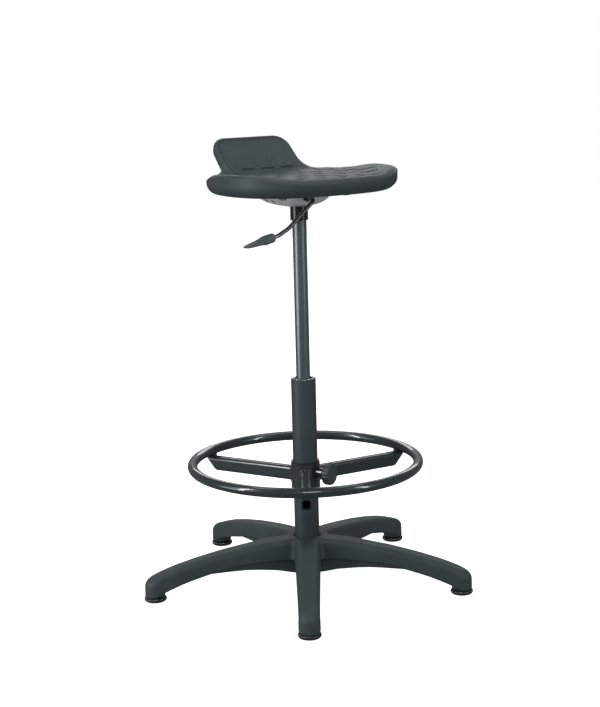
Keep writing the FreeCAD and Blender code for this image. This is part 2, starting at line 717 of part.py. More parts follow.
def make_lever_grip():
    """Moulded paddle: a round socket on the rod that flattens into a wide blade."""
    end = LEVER_POINTS[-1]
    way = (end - LEVER_POINTS[-2]).normalize()
    start = end - way * GRIP_OVERLAP
    droop = math.degrees(math.atan2(-way.z, -way.y))
    # (distance along the grip, half width, half thickness, offset across the thickness)
    stations = [(0, 7.0, 6.5, 0.0), (13, 8.2, 6.5, 0.0), (23, 11.0, 5.4, 0.6), (38, 13.5, 3.6, 1.6),
                (55, 13.5, 2.6, 2.8), (65, 9.5, 1.6, 4.0)]
    wires = []
    for distance, half_w, half_t, offset in stations:
        corner = min(half_w, half_t) * 0.9
        wire = rounded_rectangle(-half_w, half_w, -half_t + offset, half_t + offset, corner, distance)
        wires.append(wire)
    grip = Part.makeLoft(wires, True)
    grip.rotate(ORIGIN, X, 90)
    grip.rotate(ORIGIN, X, droop)
    grip.translate(start)
    rod = bent_rod(LEVER_POINTS, LEVER_BENDS, LEVER_R)
    return grip.cut(rod)


# ---------------------------------------------------------------- write every node
save("star_base", make_base())
for number in range(ARMS):
    save(f"glide_{number + 1}", turned(make_glide(), ARM_FIRST_DEG + number * 360.0 / ARMS))
save("glide_stems", make_stems())
save("column_tube", make_column_tube())
save("column_end_plate", make_end_plate())
save("column_bush", make_bush())
save("column_top_ring", make_top_ring())
save("piston_rod", make_piston_rod())
save("piston", make_piston())
save("retaining_clip", make_retaining_clip())
save("bearing_washer_lower", make_bearing_washer(bearing_level()))
save("bearing_washer_upper", make_bearing_washer(ROD_SHOULDER - WASHER))
save("ball_cage", make_ball_cage())
save("bearing_balls", make_bearing_balls())
save("stroke_bumper", make_bumper())
save("gas_cylinder", make_gas_cylinder())
save("rod_guide", make_rod_guide())
save("rod_seal", make_rod_seal())
save("valve_body", make_valve_body())
save("release_pin", make_release_pin())
save("ring_tube", make_ring_tube())
for number, angle in enumerate(SPOKES_DEG):
    save(f"ring_spoke_{number + 1}", turned(make_spoke(), angle))
save("ring_collar", make_collar())
save("collar_liner", make_liner())
save("clamp_boss", make_boss())
save("clamp_pad", make_pad())
save("clamp_screw", make_screw())
save("clamp_knob", make_knob())
save("seat_pad", seat_turned(make_seat_pad()))
save("seat_insert", seat_turned(make_insert()))
save("insert_nuts", seat_turned(make_insert_nuts()))
save("seat_plate", seat_turned(make_seat_plate()))
save("seat_socket", make_seat_socket())
save("plate_bolts", seat_turned(make_plate_bolts()))
save("bolt_washers", seat_turned(make_bolt_washers()))
save("lever_rod", seat_turned(make_lever_rod()))
save("lever_tab", seat_turned(make_lever_tab()))
save("lever_clip", seat_turned(make_lever_clip()))
save("lever_bush", seat_turned(make_lever_bush()))
save("lever_bracket", seat_turned(make_lever_bracket()))
save("lever_grip", seat_turned(make_lever_grip()))
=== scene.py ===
"""Looks of the drafting chair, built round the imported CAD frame.

Shapes are worked out in millimetres and written to Blender in metres.
"""

import json
import math

import bpy
import numpy as np
from mathutils import Matrix, Vector


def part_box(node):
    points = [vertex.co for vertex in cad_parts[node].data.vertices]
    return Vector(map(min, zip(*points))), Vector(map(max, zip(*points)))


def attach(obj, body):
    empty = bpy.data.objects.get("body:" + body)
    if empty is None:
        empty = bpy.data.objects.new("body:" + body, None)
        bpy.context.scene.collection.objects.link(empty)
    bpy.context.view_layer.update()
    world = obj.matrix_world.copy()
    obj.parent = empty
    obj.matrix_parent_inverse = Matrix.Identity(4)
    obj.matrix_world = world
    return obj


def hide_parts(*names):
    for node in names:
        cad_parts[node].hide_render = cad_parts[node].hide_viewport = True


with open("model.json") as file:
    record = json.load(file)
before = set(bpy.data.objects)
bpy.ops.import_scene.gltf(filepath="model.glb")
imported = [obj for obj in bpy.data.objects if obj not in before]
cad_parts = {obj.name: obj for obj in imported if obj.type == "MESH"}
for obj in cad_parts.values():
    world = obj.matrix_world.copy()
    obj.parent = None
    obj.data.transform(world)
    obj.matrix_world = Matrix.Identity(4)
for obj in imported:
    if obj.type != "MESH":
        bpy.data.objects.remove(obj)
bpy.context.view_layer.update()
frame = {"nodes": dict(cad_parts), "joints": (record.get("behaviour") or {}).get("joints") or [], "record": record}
record = frame["record"]
MM = 0.001

# ---------------------------------------------------------------- driving sizes
# Seat, in its own frame: u forward, v to the sitter's left, z up from the floor (mm)
SEAT_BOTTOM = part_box("seat_pad")[0].z / MM
SEAT_HALF_LENGTH = 167.0
SEAT_HALF_WIDTH = 186.0
SEAT_SHIFT = 4.0
SEAT_POWER = 2.5
REAR_TAPER = 24.0
DISH_Z = 827.0
DISH_POWER = 2.4
RIM_Z = 832.0
RIM_RISE = 12.0
RIM_RISE_DEG = 74.0
RIM_RISE_SPREAD = 31.0
RIM_ROUND = 13.0
RIM_BEAD = 1.3
RIM_BEAD_DROP = 8.0
WING_DEG = 95.0
WING_SPREAD = 35.0
WING_EXTRA_ROUND = 5.0
TUCK_TOP = 822.0
TUCK_DEPTH = 25.0
TUCK_IN = 20.0
TUCK_LOSS_AT_WING = 8.0
TUCK_POWER = 2.3
BEAD_WIDTH = 2.6
BOTTOM_ROUND = 5.0

# Low lip at the back of the seat
LIP_FOOT = (-124.0, 835.0)
LIP_LEAN = math.radians(46.4)
LIP_LENGTH = 93.0
LIP_THICK = 22.0
LIP_HALF_WIDTH = 94.0
LIP_NARROWING = 0.05
LIP_CORNER = 33.0
LIP_HOLLOW = 5.0
LIP_BEAD = 2.2
LIP_BEAD_INSET = 7.5
LIP_EDGE_ROUND = 7.0
LIP_ROOT = 40.0

# Raised rectangles on the seat and lip; each row is its distance forward, its shift in pitches,
# and how many pitches it reaches to each side
PAD_PITCH = 45.0
LIP_PAD_RAISE = 3.2
LIP_PAD_UP = 13.0
LIP_PAD_HALF = (18.5, 16.0)
TOP_PAD_RAISE = 1.3
TOP_PAD_HALF = (17.0, 16.0)
SEAT_ROWS = [(126.0, 0.0, 3), (88.0, 0.5, 5), (50.0, 0.0, 6), (12.0, 0.5, 6), (-26.0, 0.0, 6),
             (-64.0, 0.5, 6)]
ROW_BEND = 0.0011
ROWS_END_SHARE = 0.8
SEAT_STEP = 1.8
SEAT_SPACE = ((-215, -200, 790), (182, 200, 905))

# Base: outlines of an arm as (distance from the middle, height)
ARMS = 5
ARM_CROWN = [(14, 98), (50, 98.5), (84, 96.5), (132, 91), (181, 84.5), (229, 76), (276, 65.5),
             (313, 54), (334, 44), (360, 29)]
ARM_LOWER_EDGE = [(14, 57), (47, 57), (89, 58.5), (122, 58), (164, 55.5), (193, 51.5), (213, 46),
                  (233, 41.5), (254, 36.5), (283, 27.5), (306, 18.5), (330, 11), (360, 3)]
KEEL_LOWER_EDGE = [(0, 24), (20, 24), (37, 27), (70, 35.8), (112, 42), (137, 44.4), (162, 45.4),
                   (191, 45.6), (240, 45.6)]
ARM_SPAN = (14, 320)
ARM_TOP_HALF = (22.5, 18.6)
ARM_LOW_HALF = (27.2, 19.8)
ARM_END_CENTRE = 319.0
ARM_TOP_ROUND = 10.0
ARM_BLEND = 14.0
ARM_WALL = 4.0
RIB_HALF = 1.8
RIB_PITCH = 40.0
KEEL_HALF = 19.6
KEEL_TOP = 72.0
KEEL_END = 218.0
FOOT_CIRCLE_R = 320.0
POST_R = 19.6
POST_TOP = 47.0
POST_BOTTOM = 11.0
GROOVE_R = 10.5
HUB_R = 36.0
HUB_SOLID_R = 35.0
HUB_WALL_R = 34.0
HUB_TOP = 99.0
HUB_BOTTOM = 32.0
BORE_R = 25.4
BORE_MOUTH_R = 26.6
BORE_MOUTH_Z = 79.0
GLIDE_RIBS = 24
RING_CRIMPS = 16
BASE_STEP = 2.0
BASE_SPACE = ((-350, -350, 6), (350, 350, 104))

# Foot ring
RING_R = 227.5
RING_TUBE_R = 10.0
RING_SEAM_DEG = 96.0
COLLAR_R = 29.2
SPOKE_W = 20.0
SPOKE_H = 29.0
SPOKE_TOP = 240.0
SPOKE_CORNER = 6.0
SPOKES_DEG = (30.0, 150.0, 270.0)
COLLAR_BEAD_R = 2.3
RING_BEAD_R = 2.0
CLAMP_DEG = -30.0
CLAMP_Z = 232.0
KNOB_FLUTES = 12
KNOB_FLUTE_DEPTH = 1.5

# Lever paddle, in the seat's frame: last bend and end of the rod, and (distance, half width,
# half thickness, sink) along the paddle
LEVER_BEND = (78.0, -97.0, 723.5)
LEVER_END = (78.0, -122.0, 718.3)
GRIP_OVERLAP = 16.0
GRIP_TIP_ROUND = 8.0
GRIP_STATIONS = [(0, 7.8, 8.7, 0), (4, 8.0, 9.1, 0), (10, 8.4, 9.2, 0), (18, 9.4, 9.2, 0),
                 (25, 11.2, 8.0, 0.4), (31, 13.0, 5.6, 1.2), (38, 13.8, 4.6, 1.8),
                 (48, 13.8, 3.6, 2.4), (57, 13.0, 2.6, 3.0), (66, 11.0, 1.5, 3.6)]

# Light and camera (metres, radians); the levels are the world's strength for lit surfaces and for
# what they mirror
ROOM_LEVEL = 0.32
MIRROR_LEVEL = 0.13
FLOOR_R = 6.0
FLOOR_GLOW = (0.86, 1.0)
FLOOR_GLOW_REACH = (0.45, 1.3)
CAMERA_PLACE = (0.0, -3.0983, 1.07095)
CAMERA_LENS = 80.60
CAMERA_YAW = -0.0017
CAMERA_PITCH = 0.1904
CAMERA_ROLL = -0.0256


# ---------------------------------------------------------------- implicit shapes
def smooth_min(a, b, k):
    """Either shape, with the hollow where they meet filled over a width of about k."""
    h = np.clip(0.5 + 0.5 * (b - a) / k, 0.0, 1.0)
    return b + (a - b) * h - k * h * (1.0 - h)


def round_max(a, b, r):
    """Both shapes at once, with the edge where they meet rounded to radius r."""
    outside = np.hypot(np.maximum(a + r, 0.0), np.maximum(b + r, 0.0))
    return outside - r + np.minimum(np.maximum(a, b) + r, 0.0)


def smooth_step(x):
    """Eased rise from 0 to 1."""
    x = np.clip(x, 0.0, 1.0)
    return x * x * (3.0 - 2.0 * x)


def surface_net(field, low, high, step):
    """Points and quads of the surface where field(x, y, z) is zero; the field is negative inside."""
    axes = [np.arange(a, b + step, step) for a, b in zip(low, high)]
    grid = np.meshgrid(*axes, indexing="ij", sparse=True)
    slab = 24
    slabs = [field(grid[0][i:i + slab], grid[1], grid[2]).astype(np.float32)
             for i in range(0, len(axes[0]), slab)]
    f = np.concatenate(slabs, 0)
    inside = f < 0
    cells = tuple(n - 1 for n in f.shape)
    total = np.zeros(cells, np.int8)
    for corner in np.ndindex(2, 2, 2):
        total += inside[tuple(slice(c, c + n) for c, n in zip(corner, cells))]
    active = (total > 0) & (total < 8)
    where = np.argwhere(active)
    index = np.full(cells, -1, np.int32)
    index[active] = np.arange(len(where))
    points = np.zeros((len(where), 3))
    count = np.zeros(len(where))
    quads = []
    for axis in range(3):
        one, two = [k for k in range(3) if k != axis]
        for shift in np.ndindex(2, 2):
            start = where.copy()
            start[:, one] += shift[0]
            start[:, two] += shift[1]
            end = start.copy()
            end[:, axis] += 1
            fa, fb = f[tuple(start.T)], f[tuple(end.T)]
            cross = (fa < 0) != (fb < 0)
            part = np.where(cross, fa / np.where(cross, fa - fb, 1.0), 0.0)
            place = start.astype(float)
            place[:, axis] += part
            points[cross] += place[cross]
            count += cross
        near = [slice(1, -1)] * 3
        near[axis] = slice(0, -1)
        far = [slice(1, -1)] * 3
        far[axis] = slice(1, None)
        change = inside[tuple(near)] != inside[tuple(far)]
        at = np.argwhere(change)
        flip = inside[tuple(near)][change]
        at[:, one] += 1
        at[:, two] += 1
        ring = []
        for s1, s2 in ((1, 1), (0, 1), (0, 0), (1, 0)):
            c = at.copy()
            c[:, one] -= s1
            c[:, two] -= s2
            ring.append(index[tuple(c.T)])
        quad = np.stack(ring, 1)
        turn = flip if axis == 1 else ~flip
        quad[turn] = quad[turn][:, ::-1]
        quads.append(quad)
    points = points / count[:, None] * step + np.array(low, float)
    for _ in range(3):
        points = settle(field, points, step)
    return points, np.concatenate(quads)


def settle(field, points, step):
    """Move points towards the zero surface along the field's slope, by at most half a step."""
    x, y, z = points.T
    e = 0.2
    slope = np.stack([field(x + e, y, z) - field(x - e, y, z), field(x, y + e, z) - field(x, y - e, z),
                      field(x, y, z + e) - field(x, y, z - e)], 1) / (2 * e)
    size = np.maximum((slope ** 2).sum(1), 0.05)
    move = -(field(x, y, z) / size)[:, None] * slope
    length = np.linalg.norm(move, axis=1, keepdims=True)
    return points + move * np.minimum(1.0, 0.5 * step / np.maximum(length, 1e-9))


def mesh_object(name, points, faces):
    """New object from points in mm and lists of corner indices."""
    mesh = bpy.data.meshes.new(name)
    mesh.from_pydata((np.asarray(points) * MM).tolist(), [], [list(map(int, f)) for f in faces])
    mesh.validate()
    mesh.shade_smooth()
    obj = bpy.data.objects.new(name, mesh)
    bpy.context.scene.collection.objects.link(obj)
    return obj


# ---------------------------------------------------------------- seat
lever_axis = Vector(next(j for j in frame["joints"] if j["name"] == "lever_lift")["axis"])
FORWARD = np.array([-lever_axis.x, -lever_axis.y])
LEFT = np.array([lever_axis.y, -lever_axis.x])


def seat_plan(u, v):
    """Distance outside the plan outline, share of the way out to it, and angle from the front."""
    u = u - SEAT_SHIFT
    width = SEAT_HALF_WIDTH - REAR_TAPER * smooth_step(-u / SEAT_HALF_LENGTH)
    a = np.abs(u) / SEAT_HALF_LENGTH + 1e-6
    b = np.abs(v) / width + 1e-6
    share = (a ** SEAT_POWER + b ** SEAT_POWER) ** (1.0 / SEAT_POWER)
    slope = np.hypot((a / share) ** (SEAT_POWER - 1) / SEAT_HALF_LENGTH,
                     (b / share) ** (SEAT_POWER - 1) / width)
    angle = np.degrees(np.arctan2(np.abs(v), u))
    return (share - 1.0) / slope, share, angle


def pad_mask(x, y, half_x, half_y, soft=1.1):
    """1 on a rectangle about the origin, 0 outside it, with soft edges."""
    return (smooth_step((half_x - np.abs(x)) / soft + 0.5)
            * smooth_step((half_y - np.abs(y)) / soft + 0.5))


def seat_pads(u, v):
    """Raised rectangles in staggered rows on the top of the seat."""
    mask = np.zeros(np.broadcast(u, v).shape)
    for row_u, offset, reach in SEAT_ROWS:
        for k in range(-reach, reach + 1):
            centre = (k + offset) * PAD_PITCH
            bend = row_u - ROW_BEND * centre ** 2
            ratio = seat_plan(np.array(bend), np.array(centre))[1]
            if ratio > ROWS_END_SHARE:
                continue
            mask = np.maximum(mask, pad_mask(u - bend, v - centre, *TOP_PAD_HALF))
    return mask


def seat_field(u, v, z):
    """Dished seat with a rolled rim, its lip and their raised rectangles."""
    side, share, angle = seat_plan(u, v)
    rise = np.exp(-((angle - RIM_RISE_DEG) / RIM_RISE_SPREAD) ** 4)
    crest = RIM_Z + RIM_RISE * rise
    top = DISH_Z + (crest - DISH_Z) * np.minimum(share, 1.1) ** DISH_POWER
    wing = smooth_step((angle - WING_DEG) / WING_SPREAD)
    depth = np.clip((TUCK_TOP - z) / TUCK_DEPTH, 0.0, 1.2)
    under = (TUCK_IN - TUCK_LOSS_AT_WING * wing) * depth ** TUCK_POWER
    rim_bead = RIM_BEAD * np.exp(-((z - crest + RIM_BEAD_DROP) / BEAD_WIDTH) ** 2)
    body = round_max(z - top, side + under - rim_bead, RIM_ROUND + WING_EXTRA_ROUND * wing)
    # lip: s up its slope, n out of its front face
    du, dz = u - LIP_FOOT[0], z - LIP_FOOT[1]
    s = -du * math.sin(LIP_LEAN) + dz * math.cos(LIP_LEAN)
    n = du * math.cos(LIP_LEAN) + dz * math.sin(LIP_LEAN)
    n = n - LIP_HOLLOW * np.clip((50.0 - s) / 100.0, -1.0, 1.0) ** 2 + 1.0
    half = LIP_HALF_WIDTH - LIP_NARROWING * s - 0.28 * np.clip(-n, 0.0, 30.0)
    over_v = np.abs(v) - half + LIP_CORNER
    over_s = s - LIP_LENGTH + LIP_CORNER
    past_corner = np.hypot(np.maximum(over_v, 0), np.maximum(over_s, 0))
    edge = past_corner + np.minimum(np.maximum(over_v, over_s), 0) - LIP_CORNER
    edge_bead = LIP_BEAD * np.exp(-((edge + LIP_BEAD_INSET) / BEAD_WIDTH) ** 2)
    face = np.abs(n + LIP_THICK / 2) - LIP_THICK / 2 - edge_bead * smooth_step((n + 8.0) / 6.0)
    lip = round_max(face, edge, LIP_EDGE_ROUND)
    lip = round_max(lip, -s - LIP_ROOT, 6.0)
    spread = 12.0 + 14.0 * smooth_step((n + 16.0) / 16.0)
    shape = smooth_min(body, lip, spread)
    shape = shape - TOP_PAD_RAISE * seat_pads(u, v) * smooth_step((z - top + 6.0) / 4.0)
    for k in (-1, 0, 1):
        lip_pad = pad_mask(s - LIP_PAD_UP, v - k * PAD_PITCH, *LIP_PAD_HALF)
        shape = shape - LIP_PAD_RAISE * lip_pad * smooth_step((n + 8.0) / 4.0)
    return round_max(shape, SEAT_BOTTOM - z, BOTTOM_ROUND)


def to_world(points):
    """Seat frame (u, v, z) to the row frame."""
    flat = points[:, :1] * FORWARD + points[:, 1:2] * LEFT
    return np.column_stack([flat, points[:, 2]])


def make_seat():
    """Moulded polyurethane seat, the one padded piece."""
    points, quads = surface_net(seat_field, *SEAT_SPACE, SEAT_STEP)
    seat = mesh_object("seat_cushion", to_world(points), quads)
    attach(seat, "seat")
    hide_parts("seat_pad")
    return seat


# ---------------------------------------------------------------- star base
def eased(points, window=25):
    """Smooth curve through a run of (distance, height) points."""
    at = np.arange(-60.0, 460.0)
    height = np.interp(at, [p[0] for p in points], [p[1] for p in points])
    padded = np.pad(height, window, mode="edge")
    soft = np.convolve(padded, np.ones(window) / window, "same")[window:-window]
    return lambda q: np.interp(q, at, soft)


crown_at = eased(ARM_CROWN)
lower_at = eased(ARM_LOWER_EDGE)
keel_at = eased(KEEL_LOWER_EDGE, 11)


def arm_shape(a, t, z):
    """One arm, a along it and t across it."""
    crown = crown_at(a)
    down = np.clip((crown - z) / (crown - lower_at(a)), 0.0, 1.6)
    top_half = np.interp(a, ARM_SPAN, ARM_TOP_HALF)
    low_half = np.interp(a, ARM_SPAN, ARM_LOW_HALF)
    half = top_half + (low_half - top_half) * down
    from_spine = np.hypot(np.maximum(a - ARM_END_CENTRE, 0.0), t)
    return round_max((z - crown) * 0.98, from_spine - half, ARM_TOP_ROUND)


def keel_shape(a, t, z):
    """Deeper web under the inner part of an arm."""
    keel = round_max(np.abs(t) - KEEL_HALF, keel_at(a) - z, 3.0)
    return np.maximum(np.maximum(keel, z - KEEL_TOP), a - KEEL_END)


def base_field(x, y, z):
    """Five-arm moulding: hub with its bore, hollow ribbed arms, and a post for each glide."""
    r = np.hypot(x, y)
    turn = math.radians(360.0 / ARMS)
    phi = np.arctan2(y, x) + math.pi / 2
    near = phi - np.round(phi / turn) * turn
    other = near - np.sign(near + 1e-9) * turn
    a, t = r * np.cos(near), r * np.sin(near)
    a2, t2 = r * np.cos(other), r * np.sin(other)
    next_arm = np.maximum(arm_shape(a2, t2, z), 10.0 - a2)
    body = smooth_min(arm_shape(a, t, z), next_arm, ARM_BLEND)
    body = smooth_min(body, round_max(r - HUB_R, z - HUB_TOP, 6.0), ARM_BLEND)
    body = round_max(body, z - HUB_TOP, 4.0)
    # hollow underneath, with a central rib and cross ribs
    rib = np.abs(t) - RIB_HALF
    cross = np.abs(np.mod(a, RIB_PITCH) - RIB_PITCH / 2) - RIB_HALF
    ribs = np.minimum(rib, cross)
    hub_solid = r - HUB_SOLID_R
    hollow = np.maximum(np.maximum(body + ARM_WALL, -ribs), -hub_solid)
    # shallow curved groove near the end of the arm
    mark = np.abs(np.hypot(np.maximum(a - 300.0, 0.0), t) - GROOVE_R) - 0.7
    body = body + 0.7 * smooth_step(0.5 - mark) * (a > 288.0) * (a < 314.0)
    shell = np.maximum(body, -hollow)
    low = np.where(r < HUB_R + 1.0, HUB_BOTTOM - z, lower_at(a) - z)
    shell = round_max(shell, low, 1.5)
    keel = keel_shape(a, t, z)
    keel_hollow = np.maximum(np.maximum(keel + ARM_WALL, -ribs), -hub_solid)
    shell = np.minimum(shell, np.maximum(keel, -keel_hollow))
    out = np.hypot(a - FOOT_CIRCLE_R, t)
    post = round_max(out - POST_R, z - POST_TOP, 16.0)
    post = round_max(post, POST_BOTTOM - z, 1.5)
    shell = smooth_min(shell, post, 5.0)
    hub_wall = np.maximum(np.maximum(r - HUB_WALL_R, HUB_BOTTOM - z), z - HUB_TOP + 2.0)
    shell = np.minimum(shell, hub_wall)
    bore = r - np.where(z > BORE_MOUTH_Z, BORE_MOUTH_R, BORE_R)
    return round_max(shell, -bore, 1.2)


def make_base():
    """Nylon star base."""
    points, quads = surface_net(base_field, *BASE_SPACE, BASE_STEP)
    base = mesh_object("base_moulding", points, quads)
    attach(base, "base")
    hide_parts("star_base")
    return base


# ---------------------------------------------------------------- turned and lofted pieces
def grid_faces(rows, columns, close_ends=True):
    """Quads of a tube of rows rings, columns points each, with an n-gon over each end."""
    faces = []
    for i in range(rows - 1):
        for j in range(columns):
            k = (j + 1) % columns
            faces.append((i * columns + j, i * columns + k, (i + 1) * columns + k, (i + 1) * columns + j))
    if close_ends:
        faces.append(tuple(range(columns))[::-1])
        faces.append(tuple((rows - 1) * columns + j for j in range(columns)))
    return faces


def make_glide(index):
    """Low foot whose rolled rim is broken by small ribs, with a moulded ring and sink on top."""
    low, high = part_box(f"glide_{index}")
    centre = (np.array(low) + np.array(high)) / 2 / MM
    columns = 288
    # radius, height
    profile = [(6.0, 0.0), (14.0, 0.0), (17.6, 0.3), (19.6, 1.0), (21.2, 2.2), (22.1, 3.6), (22.4, 5.2),
               (22.1, 6.8), (21.2, 8.2), (19.8, 9.4), (18.2, 10.1), (16.8, 10.3), (16.2, 9.7), (13.5, 9.5),
               (9.0, 9.5), (6.0, 9.5)]
    points = []
    for radius, z in profile:
        for j in range(columns):
            turn = j * math.tau / columns
            rib = 0.5 + 0.5 * math.cos(turn * GLIDE_RIBS)
            depth = 1.1 * float(smooth_step((radius - 17.5) / 3.0)) * float(smooth_step((z - 1.0) / 3.0))
            here = radius - depth * (1 - rib) ** 2
            points.append((centre[0] + here * math.cos(turn), centre[1] + here * math.sin(turn), z))
    glide = mesh_object(f"glide_foot_{index}", points, grid_faces(len(profile), columns))
    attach(glide, "base")
    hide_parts(f"glide_{index}")
    return glide


def smooth_path(points, count, closed=False):
    """Evenly spaced points along a run of straight stretches."""
    points = np.array(points, float)
    if closed:
        points = np.vstack([points, points[:1]])
    step = np.linalg.norm(np.diff(points, axis=0), axis=1)
    far = np.concatenate([[0], np.cumsum(step)])
    at = np.linspace(0, far[-1], count + 1)[:count] if closed else np.linspace(0, far[-1], count)
    return np.column_stack([np.interp(at, far, points[:, k]) for k in range(3)])


def bead(name, path, radius, body, slot, seed, closed=True):
    """Lumpy weld bead along a path of points in mm."""
    count, around = len(path), 14
    noise = np.random.default_rng(seed)
    phase = noise.uniform(0, math.tau, 4)
    points = []
    for i in range(count):
        ahead = path[(i + 1) % count] - path[i - 1] if closed else (
            path[min(i + 1, count - 1)] - path[max(i - 1, 0)])
        ahead = Vector(ahead).normalized()
        side = ahead.orthogonal().normalized()
        up = ahead.cross(side)
        run = i * math.tau / count
        swell = 1 + 0.16 * math.sin(9 * run + phase[0]) + 0.1 * math.sin(17 * run + phase[1])
        swell += 0.06 * math.sin(31 * run + phase[2])
        ends = 1.0 if closed else max(0.08, math.sin(math.pi * (i + 0.5) / count) ** 0.35)
        for j in range(around):
            turn = j * math.tau / around
            offset = side * math.cos(turn) + up * math.sin(turn)
            points.append(tuple(Vector(path[i]) + offset * radius * swell * ends))
    faces = grid_faces(count, around, not closed)
    if closed:
        # carry the last ring on to the first, at the corner turn that fits best
        first = np.array(points[:around])
        last = np.array(points[-around:])
        gap = [np.linalg.norm(np.roll(first, -k, 0) - last, axis=1).sum() for k in range(around)]
        shift = int(np.argmin(gap))
        for j in range(around):
            k = (j + 1) % around
            faces.append(((count - 1) * around + j, (count - 1) * around + k,
                          (k + shift) % around, (j + shift) % around))
    weld = mesh_object(name, points, faces)
    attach(weld, body)
    dress(weld, slot)
    return weld


def make_ring():
    """Bent tube of the foot ring, with a faint raised seam where its ends are welded."""
    middle = sum(corner.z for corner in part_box("ring_tube")) / 2 / MM
    rows, columns = 360, 40
    points = []
    for i in range(rows):
        turn = i * math.tau / rows
        off_seam = (math.degrees(turn) - RING_SEAM_DEG + 180) % 360 - 180
        tube = RING_TUBE_R + 0.35 * math.exp(-(off_seam / 0.8) ** 2)
        for j in range(columns):
            across = j * math.tau / columns
            radius = RING_R + tube * math.cos(across)
            height = middle + tube * math.sin(across)
            points.append((radius * math.cos(turn), radius * math.sin(turn), height))
    faces = grid_faces(rows, columns, False)
    last = (rows - 1) * columns
    faces += [(last + j, last + (j + 1) % columns, (j + 1) % columns, j) for j in range(columns)]
    ring = mesh_object("ring_hoop", points, [face[::-1] for face in faces])
    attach(ring, "foot_ring")
    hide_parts("ring_tube")
    return ring


def make_spoke_welds(index, degrees):
    """Beads where a foot-ring spoke meets the collar and the ring."""
    out = np.array([math.cos(math.radians(degrees)), math.sin(math.radians(degrees)), 0.0])
    across = np.array([-out[1], out[0], 0.0])
    up = np.array([0.0, 0.0, 1.0])
    low, high, half, corner = SPOKE_TOP - SPOKE_H, SPOKE_TOP, SPOKE_W / 2, SPOKE_CORNER
    outline = []
    for cx, cz, start in ((half - corner, high - corner, 0), (-half + corner, high - corner, 90),
                          (-half + corner, low + corner, 180), (half - corner, low + corner, 270)):
        for step in range(0, 91, 18):
            turn = math.radians(start + step)
            outline.append((cx + corner * math.cos(turn), cz + corner * math.sin(turn)))
    root = []
    for t, z in outline:
        reach = math.sqrt(max(COLLAR_R ** 2 - t ** 2, 0.0)) + 0.8
        root.append(out * reach + across * t + up * z)
    bead(f"collar_weld_{index}", smooth_path(root, 120, True), COLLAR_BEAD_R, "foot_ring", "ring_paint",
         11 + index)
    for side in (-1, 1):
        run = []
        for step in range(-10, 11):
            share = step / 10.0
            radial = RING_R + share * RING_TUBE_R * 0.82
            z = SPOKE_TOP + 0.6
            run.append(out * radial + across * side * (half - 1.0) + up * (z + 0.8 * (1 - share ** 2)))
        bead(f"ring_weld_{index}_{'ab'[side > 0]}", smooth_path(run, 40), RING_BEAD_R, "foot_ring",
             "ring_paint", 31 + 2 * index + (side > 0), False)


def make_knob():
    """Fluted hand knob with a dished face and a stepped neck."""
    out = Vector((math.cos(math.radians(CLAMP_DEG)), math.sin(math.radians(CLAMP_DEG)), 0))
    across = Vector((-out.y, out.x, 0))
    # radius, distance from the column's axis, share of the full flute depth
    profile = [(4.6, 44.5, 0), (8.2, 44.5, 0), (8.6, 44.8, 0), (8.6, 46.0, 0), (9.4, 46.5, 0),
               (14.0, 46.6, 0.1), (19.4, 46.9, 0.6), (21.4, 47.7, 0.9), (22.3, 49.2, 1), (22.5, 51.0, 1),
               (22.5, 59.0, 1), (22.3, 60.6, 1), (21.4, 62.0, 0.9), (19.8, 62.8, 0.6), (17.2, 63.0, 0.2),
               (15.4, 62.6, 0), (14.4, 61.4, 0), (13.2, 60.9, 0), (7.6, 60.9, 0), (6.8, 61.4, 0),
               (5.6, 62.0, 0), (4.6, 62.0, 0)]
    columns = 240
    points = []
    for radius, far, flute in profile:
        for j in range(columns):
            turn = j * math.tau / columns
            dip = max(0.0, math.cos(turn * KNOB_FLUTES)) ** 1.6
            here = radius - KNOB_FLUTE_DEPTH * flute * dip
            up = Vector((0, 0, CLAMP_Z + here * math.sin(turn)))
            points.append(tuple(out * far + across * (here * math.cos(turn)) + up))
    knob = mesh_object("hand_knob", points, grid_faces(len(profile), columns))
    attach(knob, "knob")
    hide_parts("clamp_knob")
    return knob


def make_top_ring():
    """Bright pressed ring in the mouth of the column, crimped at even steps round its edge."""
    low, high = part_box("column_top_ring")
    outer, base = high.x / MM, low.z / MM
    columns = 320
    # radius, height over the mouth of the column
    profile = [(outer - 5.0, 0.0), (outer, 0.0), (outer, 2.6), (outer - 0.5, 3.4), (outer - 1.3, 3.7),
               (outer - 2.2, 3.4), (outer - 3.2, 2.8), (outer - 4.2, 2.5), (outer - 5.0, 2.2)]
    points = []
    for radius, height in profile:
        for j in range(columns):
            turn = j * math.tau / columns
            crimp = max(0.0, math.cos(turn * RING_CRIMPS)) ** 6
            z = base + height - 1.5 * crimp * (height > 2.0) * (radius < outer - 0.2)
            points.append((radius * math.cos(turn), radius * math.sin(turn), z))
    faces = grid_faces(len(profile), columns, False)
    last = (len(profile) - 1) * columns
    faces += [(last + j, last + (j + 1) % columns, (j + 1) % columns, j) for j in range(columns)]
    ring = mesh_object("crimped_ring", points, faces)
    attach(ring, "base")
    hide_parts("column_top_ring")
    return ring


